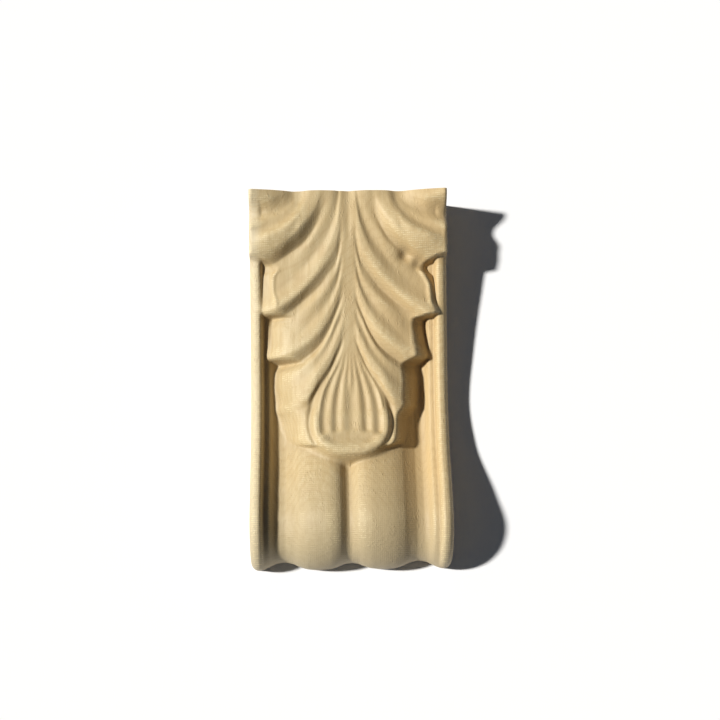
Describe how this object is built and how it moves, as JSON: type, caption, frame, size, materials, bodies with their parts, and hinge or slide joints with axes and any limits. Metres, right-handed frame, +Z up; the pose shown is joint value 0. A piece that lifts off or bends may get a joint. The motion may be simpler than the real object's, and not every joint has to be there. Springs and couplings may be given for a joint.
{
  "type": "carved wood applique",
  "caption": "Small carved wood corbel applique: acanthus leaf over a twin-lobed scroll between plain side bars, with a flat back for fixing to a wall or cabinet.",
  "frame": {"origin": "middle of the flat back face, which is the face fixed to a wall, pilaster or cabinet", "axes": "+Z up along the length of the block, carved front towards -Y, flat back facing +Y, +X to the right as seen from the front"},
  "size_m": [0.079, 0.0257, 0.15],
  "materials": {
    "carved_applique": "bare pale hardwood, sanded but unsealed, with fine cutter marks"
  },
  "bodies": {
    "root": {"carved_applique": "carved_applique"}
  },
  "joints": []
}
